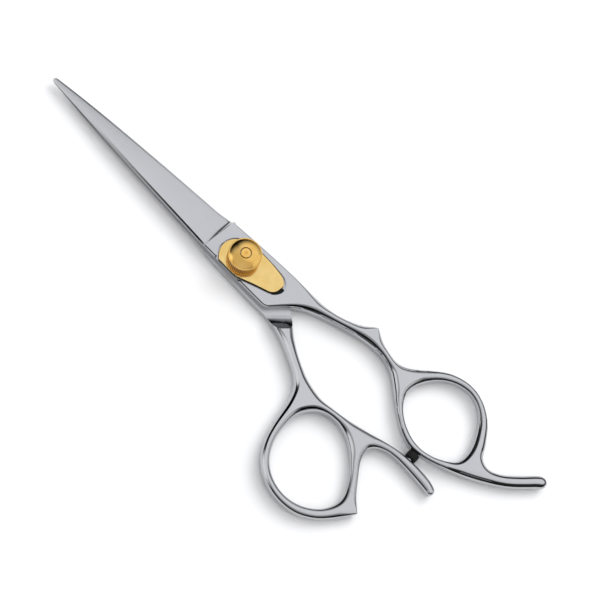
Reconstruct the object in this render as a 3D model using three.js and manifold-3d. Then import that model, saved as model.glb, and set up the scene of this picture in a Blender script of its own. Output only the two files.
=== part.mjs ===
// Hair cutting shears: two forged halves on a pivot screw, a click-stop tension knob on a gilt plate,
// and a rubber bumper on the thumb half's prong.
// Frame, in millimetres: Z is the pivot axis and z = 0 the surface the closed shears lie on, knob up.
// +X runs along the blades to the tip, +Y to the thumb ring and -Y to the finger ring.
// The finger half is the upper layer at the pivot, the thumb half the lower one.

import * as THREE from "three";
import { mergeVertices } from "three/addons/utils/BufferGeometryUtils.js";
import Module from "manifold-3d";

const wasm = await Module();
wasm.setup();

// Driving dimensions
const THICKNESS = 5.0; // both layers together, at the pivot and along the shanks
const PARTING = THICKNESS / 2; // plane on which the two halves slide
const SLIDE_GAP = 0.05; // each half stands this far back from the parting plane
const ROUNDING = 0.6; // rounded edge of shanks and rings
const HUB_RADIUS = 18.2; // inside this radius the finger half has only its own layer
const HUB_COVE = 2.4; // radial reach of the hollow step from one layer up to the full thickness
// The straight hollow step across the thumb half's shank: distance of its top edge from the pivot
const THUMB_COVE = { distance: 18.96, azimuth: 136.2, reach: 4.3 };
const RING_THINNING = 0.3; // share of the thickness lost from shank to ring end
const THINNING_FROM = -38;
const THINNING_TO = -64;

// Where the ground blade meets the ricasso, and how far that step leans across the blade, X per Y
const FINGER_ROOT = { x: 9.3, slant: 0.1 };
const THUMB_ROOT = { x: 8.9, slant: -0.13 };
const BLADE_START = 6; // the blades begin inside their ricassos
const BLADE_TIP = 70.2;
const SPINE_CHAMFER = 0.35;
const EDGE_THICKNESS = 0.12;

const SCREW_HEAD = { radius: 4.4, height: 1.0 };
const SCREW_NECK = { radius: 2.6, flat: 2.1, top: 3.9 };
const SCREW_THREAD = { radius: 1.9, top: 8.6 };
const RUNNING_GAP = 0.1; // radial gap round every turning or keyed piece
const BUSHING = { radius: 3.1, bottom: 1.2, top: 2.1 };
const WASHER = { radius: 4.5, bottom: 2.2, top: 2.8 };
const PLATE = { bottom: 4.25, top: 5.1 };
const SPRING_WASHER = { inner: 2.05, outer: 3.05, thick: 0.2, rise: 0.45 };
const KNOB = { radius: 4.5, bottom: 5.3, knurlTop: 8.6, rim: 4.05, domeTop: 10.05 };
const KNURL = { teeth: 48, depth: 0.2 };
const KNOB_RECESS = { radius: 3.2, top: 5.95 };
const LOCK_SCREW = { head: 1.35, shank: 0.7, seat: 8.85, top: 10.15, end: 7.2 };
const DETENT = { track: 3.9, ball: 0.42, notches: 12, angle: Math.PI };
const DETENT_SPRING = { radius: 0.27, wire: 0.07, turns: 4, bottom: 3.2, top: 4.3 };
const BUMPER = { x: -67.4, radius: 1.65, from: 4.75, to: 6.75, core: 0.9 };
const STUD = { radius: 0.75, from: 5.6, to: 8.5 };

const steel = { color: 0xc4c6c9, roughness: 0.22, metalness: 1.0 };
const gilt = { color: 0xe0a83a, roughness: 0.18, metalness: 1.0 };
const nylon = { color: 0xe6e4dc, roughness: 0.5, metalness: 0.0 };
const rubber = { color: 0x141414, roughness: 0.75, metalness: 0.0 };

// Geometry helpers

// A closed three.js geometry as a manifold solid.
function solid(geometry) {
  const bare = geometry.index ? geometry.toNonIndexed() : geometry.clone();
  for (const name of Object.keys(bare.attributes)) {
    if (name !== "position") bare.deleteAttribute(name);
  }
  const merged = mergeVertices(bare, 1e-4);
  return new wasm.Manifold(
    new wasm.Mesh({
      numProp: 3,
      vertProperties: new Float32Array(merged.attributes.position.array),
      triVerts: new Uint32Array(merged.index.array),
    }),
  );
}

function geometryOf(body) {
  const { vertProperties, triVerts } = body.getMesh();
  const geometry = new THREE.BufferGeometry();
  geometry.setAttribute("position", new THREE.BufferAttribute(vertProperties, 3));
  geometry.setIndex(new THREE.BufferAttribute(triVerts, 1));
  geometry.computeVertexNormals();
  return geometry;
}

// A smooth open curve through [x, y] points, as evenly spaced Vector2s.
function spline(points, step = 1.3) {
  const curve = new THREE.CatmullRomCurve3(
    points.map(([x, y]) => new THREE.Vector3(x, y, 0)),
    false,
    "centripetal",
  );
  const count = Math.max(2, Math.round(curve.getLength() / step));
  return curve.getSpacedPoints(count).map(({ x, y }) => new THREE.Vector2(x, y));
}

// A closed outline of smooth runs that meet in corners; each run starts where the last one ended.
function outline(...runs) {
  return new THREE.Shape(runs.flatMap((run) => spline(run).slice(0, -1)));
}

// A closed smooth loop through [x, y] points.
function loop(points, step = 1.3) {
  const curve = new THREE.CatmullRomCurve3(
    points.map(([x, y]) => new THREE.Vector3(x, y, 0)),
    true,
    "centripetal",
  );
  const count = Math.round(curve.getLength() / step);
  return curve.getSpacedPoints(count).slice(0, -1).map(({ x, y }) => new THREE.Vector2(x, y));
}

function prism(shape, bottom, top) {
  const geometry = new THREE.ExtrudeGeometry(shape, { depth: top - bottom, bevelEnabled: false });
  return solid(geometry.translate(0, 0, bottom));
}

function roundedPrism(shape, bottom, top, rounding) {
  const geometry = new THREE.ExtrudeGeometry(shape, {
    depth: top - bottom - 2 * rounding,
    bevelEnabled: true,
    bevelThickness: rounding,
    bevelSize: rounding,
    bevelOffset: -rounding,
    bevelSegments: 2,
  });
  return geometry.translate(0, 0, bottom + rounding);
}

function disc(radius, bottom, top, segments = 48) {
  const geometry = new THREE.CylinderGeometry(radius, radius, top - bottom, segments);
  return solid(geometry.rotateX(Math.PI / 2).translate(0, 0, (bottom + top) / 2));
}

function box(x, y, z) {
  const geometry = new THREE.BoxGeometry(x[1] - x[0], y[1] - y[0], z[1] - z[0]);
  return solid(geometry.translate((x[0] + x[1]) / 2, (y[0] + y[1]) / 2, (z[0] + z[1]) / 2));
}

// A solid of revolution about Z from [radius, z] points that run from bottom to top.
function turned(profile, segments = 48) {
  const points = profile.map(([radius, z]) => new THREE.Vector2(radius, z));
  return solid(new THREE.LatheGeometry(points, segments).rotateX(Math.PI / 2));
}

function ring(inner, outer, bottom, top, segments = 48) {
  return disc(outer, bottom, top, segments).subtract(disc(inner, bottom - 1, top + 1, segments));
}

// Sections of equal point count, joined in order and closed at both ends.
function loft(sections) {
  const size = sections[0].length;
  const positions = sections.flat().flatMap(({ x, y, z }) => [x, y, z]);
  const index = [];
  for (let s = 0; s + 1 < sections.length; s += 1) {
    for (let i = 0; i < size; i += 1) {
      const a = s * size + i;
      const b = s * size + ((i + 1) % size);
      index.push(a, b, a + size, b, b + size, a + size);
    }
  }
  const last = (sections.length - 1) * size;
  for (let i = 1; i + 1 < size; i += 1) {
    index.push(0, i + 1, i, last, last + i, last + i + 1);
  }
  const geometry = new THREE.BufferGeometry();
  geometry.setAttribute("position", new THREE.Float32BufferAttribute(positions, 3));
  geometry.setIndex(index);
  return solid(geometry);
}

// A value that runs smoothly through [x, value] pairs with rising x.
function along(pairs) {
  const points = pairs.map(([x, value]) => new THREE.Vector2(x, value));
  const curve = new THREE.SplineCurve(points);
  return (x) => {
    const after = Math.min(Math.max(pairs.findIndex((pair) => pair[0] >= x), 1), pairs.length - 1);
    const [from, to] = [pairs[after - 1][0], pairs[after][0]];
    return curve.getPoint((after - 1 + (x - from) / (to - from)) / (pairs.length - 1)).y;
  };
}

// A ring that turns round the pivot screw's neck.
function neckRing({ radius, bottom, top }) {
  return ring(SCREW_NECK.radius + RUNNING_GAP, radius, bottom, top);
}

function node(name, body, look) {
  const mesh = new THREE.Mesh(geometryOf(body), new THREE.MeshStandardMaterial(look));
  mesh.name = name;
  return mesh;
}

// The rings are thinner than the shanks: heights close in on the parting plane towards the ring ends.
function thinTowardsRings(geometry) {
  const position = geometry.attributes.position;
  for (let i = 0; i < position.count; i += 1) {
    const share = THREE.MathUtils.smoothstep(-position.getX(i), -THINNING_FROM, -THINNING_TO);
    const scale = 1 - RING_THINNING * share;
    position.setZ(i, PARTING + (position.getZ(i) - PARTING) * scale);
  }
  return geometry;
}

// Outlines, seen from above

const fingerOutline = outline(
  // edge side of the ricasso, then the shank up to its peak
  [[13, -5.3], [2, -5.9], [-8, -6.3], [-18, -6.5], [-25, -6.8], [-29, -7.6], [-33, -9.3], [-37.9, -12.5]],
  // hollow behind the peak, outside of the ring and upper side of the tang
  [
    [-37.9, -12.5], [-40.6, -11.1], [-44, -9.9], [-47.4, -9.4], [-50.7, -10.6], [-55, -14.1], [-60, -17.7],
    [-65.5, -19.2], [-70.6, -18.3], [-75.6, -15.1], [-79.2, -10.4], [-81.3, -7.0], [-83.7, -6.1],
    [-87, -7.2], [-91, -10.6], [-95, -14.6], [-96.5, -15.1], [-97.8, -14.2], [-97.9, -13.0],
  ],
  // underside of the tang and ring, and the inner side of the shank
  [
    [-97.9, -13.0], [-95, -9.9], [-91, -6.1], [-86, -2.7], [-80, 0.5], [-74, 2.9], [-69, 4.3], [-65, 4.6],
    [-61.5, 3.5], [-58, 1.3], [-54.5, -1.4], [-51.3, -4.1], [-48, -6.5], [-44, -7.8], [-40, -7.8],
    [-35, -7.0], [-29, -5.3], [-24, -3.5], [-20, -1.5], [-17, 1.0], [-13.5, 4.7],
  ],
  // heel and spine side of the ricasso
  [[-13.5, 4.7], [-12.6, 5.2], [-11.2, 5.3]],
  [[-11.2, 5.3], [0, 5.1], [13, 4.6]],
  [[13, 4.6], [13, -5.3]],
);

const fingerHole = loop([
  [-55.2, -6.0], [-56.3, -10.3], [-59.4, -14.5], [-63.6, -16.9], [-68, -17.3], [-72.3, -15.2], [-75.5, -10.8],
  [-77.3, -5.7], [-76.9, -1.8], [-73.3, 1.4], [-68.6, 3.0], [-64.5, 2.7], [-59.7, 0.7], [-56.6, -2.2],
]);

const thumbOutline = outline(
  // spine side of the ricasso, hidden under the finger half
  [[13, -4.4], [-2, -5.0], [-12.4, -5.1]],
  // inner side of the shank, on to the upper side of the prong
  [
    [-12.4, -5.1], [-16, -1.8], [-20.5, 2.3], [-25, 6.0], [-30, 9.1], [-35, 11.1], [-40.5, 12.1],
    [-46, 11.7], [-52, 10.3], [-58, 8.8], [-65, 7.4], [-71, 7.1], [-75.6, 7.6], [-77.6, 8.5],
  ],
  [[-77.6, 8.5], [-78.0, 9.5], [-77.3, 10.5]],
  // underside of the prong, the notch and the leg down to its corner
  [
    [-77.3, 10.5], [-74, 10.1], [-69.5, 9.7], [-65, 9.5], [-61.7, 10.0], [-59, 11.5], [-58.0, 13.5],
    [-58.6, 16.3], [-61, 20.0], [-63.8, 23.6], [-67.3, 27.4],
  ],
  // outside of the ring and of the shank
  [
    [-67.3, 27.4], [-65.8, 29.8], [-63.2, 33.3], [-60.0, 36.4], [-56, 38.6], [-51.3, 39.4], [-46.6, 38.8],
    [-42.4, 36.9], [-39.2, 33.9], [-37.2, 30.3], [-36.0, 26.5], [-35.1, 22.5], [-34.3, 18.6],
    [-32.9, 15.1], [-30.3, 12.6], [-26.5, 10.5], [-22, 8.4], [-18, 7.1], [-14, 6.3],
  ],
  // edge side of the ricasso
  [[-14, 6.3], [-8, 6.2], [0, 5.9], [6, 5.6], [13, 5.0]],
  [[13, 5.0], [13, -4.4]],
);

const thumbHole = loop([
  [-38.5, 23.8], [-39.1, 18.9], [-42.2, 15.0], [-46.8, 13.7], [-51.9, 14.9], [-56.3, 18.1], [-60, 22.7],
  [-61.8, 27.6], [-60.3, 32.2], [-56.4, 35.6], [-51.3, 37.1], [-46.2, 36.3], [-42.1, 33.6], [-39.4, 29.1],
]);

// The gilt plate's bed: a leaf that runs out through the spine side of the ricasso.
const bedOutline = outline(
  [
    [-6.1, 3.8], [-9, 2.7], [-12, 1.5], [-13.5, -0.3], [-13.2, -2.5], [-11.6, -3.9], [-8, -4.5], [-3, -4.8],
    [2, -4.5], [5.2, -2.9], [6.6, -0.6], [6.7, 2.0], [5.6, 4.1], [4.4, 5.6],
  ],
  [[4.4, 5.6], [-1.4, 5.6]],
  [[-1.4, 5.6], [-3.2, 4.8], [-6.1, 3.8]],
);

const plateOutline = outline(
  [[-5.9, 3.35], [-9, 2.25], [-11.3, 1.4], [-12.2, 0.4]],
  [[-12.2, 0.4], [-12.6, -2.3]],
  [
    [-12.6, -2.3], [-11.3, -3.6], [-8, -4.3], [-3, -4.65], [2, -4.3], [4.9, -2.75], [6.35, -0.5],
    [6.4, 1.9], [5.3, 3.9], [4.3, 4.8],
  ],
  [[4.3, 4.8], [-1.6, 4.8]],
  [[-1.6, 4.8], [-3.2, 4.4], [-5.9, 3.35]],
);

// Blades

const fingerSpine = along([[6, 4.9], [23, 4.0], [35, 3.2], [47, 2.4], [59, 1.55], [BLADE_TIP, 0.7]]);
const fingerEdge = along([
  [6, -5.55], [10, -5.3], [14, -5.0], [20, -4.7], [34, -3.8], [48, -2.8], [59, -1.9], [BLADE_TIP, -0.65],
]);
const thumbSpine = along([[6, -4.6], [20, -4.2], [34, -3.4], [48, -2.4], [59, -1.5], [BLADE_TIP, -0.5]]);
const thumbEdge = along([[6, 5.2], [23, 4.3], [35, 3.5], [47, 2.7], [59, 1.8], [BLADE_TIP, 0.75]]);
const bladeThickness = along([[6, 2.36], [30, 2.15], [50, 1.7], [64, 1.05], [BLADE_TIP, 0.55]]);

// One blade from inside its ricasso to the tip. The spine and edge are given as Y along X, side is +1 for
// the layer above the parting plane and -1 for the layer below it.
function blade(spine, edge, side, tip) {
  const sections = [];
  const inner = PARTING + side * SLIDE_GAP;
  const steps = 24;
  for (let s = 0; s <= steps; s += 1) {
    const x = THREE.MathUtils.lerp(BLADE_START, tip, s / steps);
    const back = spine(x);
    const front = edge(x);
    const thick = bladeThickness(x);
    const across = (share, height) =>
      new THREE.Vector3(x, THREE.MathUtils.lerp(back, front, share), inner + side * height);
    const chamfer = SPINE_CHAMFER / Math.abs(back - front);
    sections.push([
      across(0, 0),
      across(0, thick - SPINE_CHAMFER),
      across(chamfer, thick),
      across(0.5, EDGE_THICKNESS + 0.6 * (thick - EDGE_THICKNESS)),
      across(1, EDGE_THICKNESS),
      across(1, 0),
    ]);
  }
  return loft(sections);
}

// Everything beyond the grinding step at the root of a blade.
function beyondRicasso(root) {
  const reach = 10;
  const lean = root.slant * reach;
  const shape = new THREE.Shape([
    new THREE.Vector2(root.x + lean, reach),
    new THREE.Vector2(root.x - lean, -reach),
    new THREE.Vector2(root.x + 2 * reach, -reach),
    new THREE.Vector2(root.x + 2 * reach, reach),
  ]);
  return prism(shape, -1, THICKNESS + 1);
}

// A hollow ramp as [distance, height] points, from just off the parting plane to the full thickness.
function cove(start, reach) {
  const steps = 6;
  return Array.from({ length: steps + 1 }, (_, s) => {
    const share = s / steps;
    return [start + reach * share, (PARTING + SLIDE_GAP) * share ** 2 - SLIDE_GAP];
  });
}

// The round room under the finger half, in which the thumb half turns.
function roomBelow() {
  const rim = cove(HUB_RADIUS, HUB_COVE);
  const end = HUB_RADIUS + HUB_COVE;
  const points = [[0, -SLIDE_GAP], ...rim, [end, PARTING + 1], [0, PARTING + 1]];
  const profile = points.map(([radius, height]) => new THREE.Vector2(radius, height));
  const room = solid(new THREE.LatheGeometry(profile, 96).rotateX(Math.PI / 2));
  return room.rotate([180, 0, 0]).translate(0, 0, PARTING);
}

// The room over the thumb half: everything on the pivot's side of a straight hollow step.
function roomAbove() {
  const { distance, azimuth, reach } = THUMB_COVE;
  const step = cove(distance - reach, reach);
  const width = 120;
  const far = -30;
  const points = [[far, -SLIDE_GAP], ...step, [distance, PARTING + 1], [far, PARTING + 1]];
  const shape = new THREE.Shape(points.map(([across, height]) => new THREE.Vector2(across, height)));
  const geometry = new THREE.ExtrudeGeometry(shape, { depth: width, bevelEnabled: false })
    .rotateX(Math.PI / 2)
    .translate(0, width / 2, PARTING)
    .rotateZ(THREE.MathUtils.degToRad(azimuth));
  return solid(geometry);
}

// Ricasso, shank and ring of one half, the full thickness throughout. The hole runs against the outline.
function handle(shape, hole, root) {
  shape.holes.push(new THREE.Path([...hole].reverse()));
  return solid(thinTowardsRings(roundedPrism(shape, 0, THICKNESS, ROUNDING))).subtract(beyondRicasso(root));
}

const detentAt = [DETENT.track * Math.cos(DETENT.angle), DETENT.track * Math.sin(DETENT.angle)];

function fingerHalf() {
  const neck = { bottom: PARTING - 1, top: SCREW_NECK.top + RUNNING_GAP / 2 };
  const reach = SCREW_NECK.radius + RUNNING_GAP;
  const keyway = disc(reach, neck.bottom, neck.top).intersect(
    box([-5, 5], [-SCREW_NECK.flat - RUNNING_GAP, SCREW_NECK.flat + RUNNING_GAP], [0, 6]),
  );
  const springPocket = disc(DETENT.ball + RUNNING_GAP, DETENT_SPRING.bottom - RUNNING_GAP, 6, 24)
    .translate(...detentAt, 0);
  return handle(fingerOutline, fingerHole, FINGER_ROOT)
    .subtract(roomBelow())
    .add(blade(fingerSpine, fingerEdge, 1, BLADE_TIP))
    .subtract(prism(bedOutline, PLATE.bottom - SLIDE_GAP, THICKNESS + 1))
    .subtract(keyway)
    .subtract(disc(SCREW_THREAD.radius + RUNNING_GAP, 3, 6))
    .subtract(disc(WASHER.radius + RUNNING_GAP, 1, WASHER.top + SLIDE_GAP))
    .subtract(springPocket);
}

function thumbHalf() {
  const lowerBlade = blade(thumbSpine, thumbEdge, -1, BLADE_TIP - 0.3);
  const studHole = disc(STUD.radius + RUNNING_GAP, 0, 4, 24)
    .rotate([-90, 0, 0])
    .translate([BUMPER.x, STUD.to + RUNNING_GAP - 4, PARTING]);
  return handle(thumbOutline, thumbHole, THUMB_ROOT)
    .subtract(roomAbove())
    .add(lowerBlade)
    .subtract(disc(SCREW_HEAD.radius + RUNNING_GAP, -1, SCREW_HEAD.height + RUNNING_GAP))
    .subtract(disc(BUSHING.radius + RUNNING_GAP, -1, 3))
    .subtract(disc(WASHER.radius + RUNNING_GAP, WASHER.bottom - SLIDE_GAP, 3))
    .subtract(studHole);
}

// Pivot and tension pieces

function pivotScrew() {
  const { radius: head, height } = SCREW_HEAD;
  const { radius: thread, top } = SCREW_THREAD;
  const flats = box([-5, 5], [-SCREW_NECK.flat, SCREW_NECK.flat], [WASHER.top, SCREW_NECK.top + 1]);
  const neck = disc(SCREW_NECK.radius, WASHER.top, SCREW_NECK.top).intersect(flats);
  const body = turned([
    [0, 0], [head - 0.3, 0], [head, 0.3], [head, height], [SCREW_NECK.radius, height],
    [SCREW_NECK.radius, WASHER.top], [thread - 0.1, WASHER.top], [thread - 0.1, SCREW_NECK.top],
    [thread, SCREW_NECK.top + 0.1], [thread, top - 0.3], [thread - 0.3, top], [0, top],
  ]);
  return body.add(neck).subtract(disc(LOCK_SCREW.shank + RUNNING_GAP, LOCK_SCREW.end - 0.2, top + 1, 24));
}

function springWasher() {
  const { inner, outer, thick, rise } = SPRING_WASHER;
  const bottom = PLATE.top + SLIDE_GAP;
  return turned([
    [inner, bottom + rise], [outer, bottom], [outer, bottom + thick], [inner, bottom + rise + thick],
    [inner, bottom + rise],
  ]);
}

function basePlate() {
  const ballHole = disc(DETENT.ball + 0.05, PLATE.bottom - 1, PLATE.top + 1, 24)
    .translate(...detentAt, 0);
  return prism(plateOutline, PLATE.bottom, PLATE.top)
    .subtract(disc(SCREW_THREAD.radius + RUNNING_GAP, 3, 6))
    .subtract(ballHole);
}

function tensionKnob() {
  const knurl = [];
  for (let tooth = 0; tooth < KNURL.teeth; tooth += 1) {
    for (const [share, depth] of [[0, 0], [0.35, 0], [0.65, KNURL.depth], [0.85, KNURL.depth]]) {
      const angle = ((tooth + share) / KNURL.teeth) * 2 * Math.PI;
      const radius = KNOB.radius - depth;
      knurl.push(new THREE.Vector2(radius * Math.cos(angle), radius * Math.sin(angle)));
    }
  }
  const dome = turned([
    [0, KNOB.bottom], [KNOB.radius - 0.25, KNOB.bottom], [KNOB.radius + 0.1, KNOB.bottom + 0.35],
    [KNOB.radius + 0.1, KNOB.knurlTop - 0.4], [KNOB.rim, KNOB.knurlTop + 0.3], [3.4, 9.35], [2.5, 9.75],
    [LOCK_SCREW.head + 0.2, KNOB.domeTop], [0, KNOB.domeTop],
  ]);
  let body = prism(new THREE.Shape(knurl), KNOB.bottom, KNOB.domeTop)
    .intersect(dome)
    .subtract(disc(KNOB_RECESS.radius, 5, KNOB_RECESS.top))
    .subtract(disc(SCREW_THREAD.radius + RUNNING_GAP, 5, LOCK_SCREW.seat))
    .subtract(disc(LOCK_SCREW.head + RUNNING_GAP, 8, KNOB.domeTop + 1));
  for (let notch = 0; notch < DETENT.notches; notch += 1) {
    const angle = (notch / DETENT.notches) * 2 * Math.PI;
    const dimple = solid(new THREE.SphereGeometry(DETENT.ball, 10, 8))
      .translate(DETENT.track * Math.cos(angle), DETENT.track * Math.sin(angle), KNOB.bottom - 0.25);
    body = body.subtract(dimple);
  }
  return body;
}

function lockScrew() {
  const { head, shank, seat, top, end } = LOCK_SCREW;
  const bottom = seat + 0.05;
  const dimple = solid(new THREE.SphereGeometry(0.4, 12, 8)).translate(0, 0, top + 0.1);
  return turned([
    [0, end], [shank, end + 0.1], [shank, bottom], [head, bottom], [head, top - 0.2], [head - 0.25, top],
    [0, top],
  ]).subtract(dimple);
}

function detentBall() {
  return solid(new THREE.SphereGeometry(DETENT.ball, 16, 12))
    .translate(...detentAt, KNOB.bottom - 0.05 - DETENT.ball);
}

function detentSpring() {
  const { radius, wire, turns, bottom, top } = DETENT_SPRING;
  const steps = 10 * turns;
  const points = [];
  for (let s = 0; s <= steps; s += 1) {
    const angle = (s / steps) * turns * 2 * Math.PI;
    const z = THREE.MathUtils.lerp(bottom + wire, top - wire, s / steps);
    points.push(new THREE.Vector3(radius * Math.cos(angle), radius * Math.sin(angle), z));
  }
  const section = new THREE.Shape();
  section.absarc(0, 0, wire, 0, 2 * Math.PI);
  const coil = new THREE.ExtrudeGeometry(section, {
    steps,
    curveSegments: 3,
    bevelEnabled: false,
    extrudePath: new THREE.CatmullRomCurve3(points),
  });
  return solid(coil).translate(...detentAt, 0);
}

// Bumper: a rubber block on a threaded stud that screws into the prong, both along Y.
function alongY(profile, segments) {
  return turned(profile, segments).rotate([-90, 0, 0]).translate([BUMPER.x, 0, PARTING]);
}

function bumper() {
  const { radius, from, to, core } = BUMPER;
  return alongY([
    [0, from], [radius - 0.35, from], [radius, from + 0.35], [radius, to - 0.15], [radius - 0.15, to],
    [core, to], [core, STUD.from - RUNNING_GAP], [0, STUD.from - RUNNING_GAP],
  ], 32);
}

function bumperStud() {
  const { radius, from, to } = STUD;
  return alongY([[0, from], [radius, from], [radius, to - 0.15], [radius - 0.15, to], [0, to]], 24);
}

const shears = new THREE.Group();
shears.add(
  node("finger_half", fingerHalf(), steel),
  node("thumb_half", thumbHalf(), steel),
  node("pivot_screw", pivotScrew(), steel),
  node("pivot_bushing", neckRing(BUSHING), nylon),
  node("bearing_washer", neckRing(WASHER), nylon),
  node("base_plate", basePlate(), gilt),
  node("spring_washer", springWasher(), steel),
  node("detent_spring", detentSpring(), steel),
  node("detent_ball", detentBall(), steel),
  node("tension_knob", tensionKnob(), gilt),
  node("lock_screw", lockScrew(), gilt),
  node("bumper", bumper(), rubber),
  node("bumper_stud", bumperStud(), steel),
);

export default shears;
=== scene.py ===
"""Hair cutting shears: satin steel halves, a polished gilt tension knob on its plate, a rubber bumper.

Lengths here are in millimetres, in the frame's own axes: Z is the pivot, z = 0 the surface that the shears
lie on, +X runs to the tip and +Y to the thumb ring. Meshes are turned into metres as they are made.
"""

import math

import bmesh
import bpy
import numpy as np
from mathutils import Matrix, Vector
from mathutils.geometry import delaunay_2d_cdt
from mathutils.kdtree import KDTree


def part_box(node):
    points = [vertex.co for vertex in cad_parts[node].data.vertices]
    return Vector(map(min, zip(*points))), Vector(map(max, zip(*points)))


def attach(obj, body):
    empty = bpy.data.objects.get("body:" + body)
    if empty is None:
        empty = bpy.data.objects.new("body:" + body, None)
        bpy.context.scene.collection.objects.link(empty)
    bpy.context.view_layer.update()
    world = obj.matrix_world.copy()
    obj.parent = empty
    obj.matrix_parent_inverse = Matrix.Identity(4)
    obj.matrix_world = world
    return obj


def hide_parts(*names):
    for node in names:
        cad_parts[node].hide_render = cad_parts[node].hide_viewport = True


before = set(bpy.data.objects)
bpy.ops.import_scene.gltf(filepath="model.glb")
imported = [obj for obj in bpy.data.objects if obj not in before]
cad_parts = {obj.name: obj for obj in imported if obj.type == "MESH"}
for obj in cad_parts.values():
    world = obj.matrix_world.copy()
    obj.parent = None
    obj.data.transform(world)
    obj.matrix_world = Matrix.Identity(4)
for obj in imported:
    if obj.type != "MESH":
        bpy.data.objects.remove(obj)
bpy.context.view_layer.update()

MM = 0.001
PARTING = 2.5  # height of the plane on which the halves slide
GAP = 0.05  # how far each half stands back from it
THICKNESS = 5.0
OUTLINE_STEP = 0.35
RUNNING_GAP = 0.1
FAR_APART = 1.6  # points further apart than this on an outline don't share a bend

# Rounding of the handles' long edges: how far it reaches in at the ricasso, and in and down along the shank
RICASSO_ROUNDING = 0.42
SHANK_ROUNDING = (1.4, 2.2)
ROUNDING_SWEEP = math.radians(62)  # part of a quarter ellipse that it turns through: its top edge stays crisp
ROUNDING_FROM, ROUNDING_TO = -13.0, -24.0
ROUNDING_STEPS = 8
CORNER_TURN = math.radians(30)  # an outline that turns more than this at one point has a corner there
CORNER_EVENING = 10  # how many times the inward directions are evened out round a sharp corner
CREASE = math.radians(24)  # faces that meet at more than this keep a crisp edge between them
RING_THINNING = 0.3
THINNING_FROM, THINNING_TO = -38.0, -64.0

HUB_RADIUS = 18.2
HUB_COVE = 2.4
THUMB_COVE = {"distance": 18.96, "azimuth": 136.2, "reach": 4.3}  # the step across the thumb half's shank
COVE_POWER = 1.7  # how late a hollow ramp rises: 1 is a straight ramp
ROOT_FILLET = 1.6
EDGE_SWELL = 0.15  # how far the cutting edge stands out past the ricasso at the root
SHOULDER_RUN = 6.0  # length over which the cutting edge swells to the ricasso's width
SPINE_CHAMFER = 0.4
EDGE_BEVEL = (0.45, 0.04)  # width of the honed bevel and thickness left at the cutting edge
HOLLOW = 0.15  # depth of the hollow ground into each blade's inner face
TIP_ROUNDING = 0.45
BURIED_LENGTH = 1.5  # how far each blade begins inside its ricasso
BURIED_SETBACK = 0.3  # how far its edge stays back from the ricasso's there

# The plate's pocket is deeper past the plate's truncated end and along the plate on the thumb ring's side:
# by how much, up to which x and from which y at the end, and up to which x and from which y alongside
BED_RELIEF = 0.15
RELIEF_END = {"x": -11.6, "y": -1.9}
RELIEF_SIDE = {"x": -5.2, "y": 1.0}
BED_CLEARANCE = 0.14  # more room round the plate on the thumb ring's side
PAINTED_SHADE_FROM = 0.4  # y from which the pocket's wall is painted black as shade alongside the plate

KNOB_TEETH = 48
KNURL_DEPTH = 0.32
KNOB_DOME = 1.05
KNOB_RIM = 0.3  # height of the bright bead between the knurl and the dome
KNOB_CLEARANCE = 0.02  # how far the knob stays inside its CAD radius
KNOB_SEAT = 8.85  # height of the flat on which the centre screw's head bears
KNOB_RECESS = {"radius": 3.2, "depth": 0.65}
LOCK_SHANK = 0.7
SCREW_GROOVE = 0.2
SCREW_HEAD_HEIGHT = 1.0
SCREW_SLOT = {"width": 0.56, "depth": 0.45}
THREAD_RADIUS = 1.9
THREAD_PITCH = 0.35
NECK_RADIUS = 2.6
NECK_FLAT = 2.1
NECK_TOP = 3.9
PLATE_CHAMFER_START = 0.14  # how far under the plate's top face its broken edge begins
TOOL_MARK_SPACING = 2 * math.pi / 52000  # in metres, on turned steel
FLOOR_LEVEL = -0.02
FLOOR_HALF = 1500


def smoothstep(value, start, end):
    share = np.clip((np.asarray(value, float) - start) / (end - start), 0, 1)
    return share * share * (3 - 2 * share)


# Outlines, read from sections of the frame's own nodes


def section(node, height):
    """Closed loops of x and y where a level plane cuts a node, anticlockwise and longest first."""
    bm = bmesh.new()
    bm.from_mesh(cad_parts[node].data)
    bmesh.ops.remove_doubles(bm, verts=bm.verts, dist=1e-7)
    bmesh.ops.bisect_plane(
        bm,
        geom=[*bm.verts, *bm.edges, *bm.faces],
        dist=1e-8,
        plane_co=(0, 0, height * MM),
        plane_no=(0, 0, 1),
        clear_inner=True,
        clear_outer=True,
    )
    left = set(bm.edges)
    loops = []
    while left:
        edge = left.pop()
        start, vert = edge.verts
        points = [start.co.xy / MM]
        while vert != start:
            points.append(vert.co.xy / MM)
            edge = next(e for e in vert.link_edges if e in left)
            left.remove(edge)
            vert = edge.other_vert(vert)
        loops.append(settled(without_straight_points(np.array(points))))
    bm.free()
    return sorted(loops, key=lambda loop: -perimeter(loop))


def perimeter(loop):
    return np.linalg.norm(np.roll(loop, -1, 0) - loop, axis=1).sum()


def area(loop):
    ahead = np.roll(loop, -1, 0)
    return 0.5 * (loop[:, 0] * ahead[:, 1] - ahead[:, 0] * loop[:, 1]).sum()


def settled(loop):
    """The loop run anticlockwise from its leftmost point, wherever the walk round it began."""
    loop = loop if area(loop) > 0 else loop[::-1]
    return np.roll(loop, -int(np.lexsort((loop[:, 1], loop[:, 0]))[0]), 0)


def turns(loop):
    """The angle that the loop turns through at each point, in radians."""
    ahead = np.roll(loop, -1, 0) - loop
    behind = loop - np.roll(loop, 1, 0)
    cross = behind[:, 0] * ahead[:, 1] - behind[:, 1] * ahead[:, 0]
    return np.arctan2(cross, (behind * ahead).sum(1))


def without_straight_points(loop):
    return loop[np.abs(turns(loop)) > 0.002]


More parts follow.
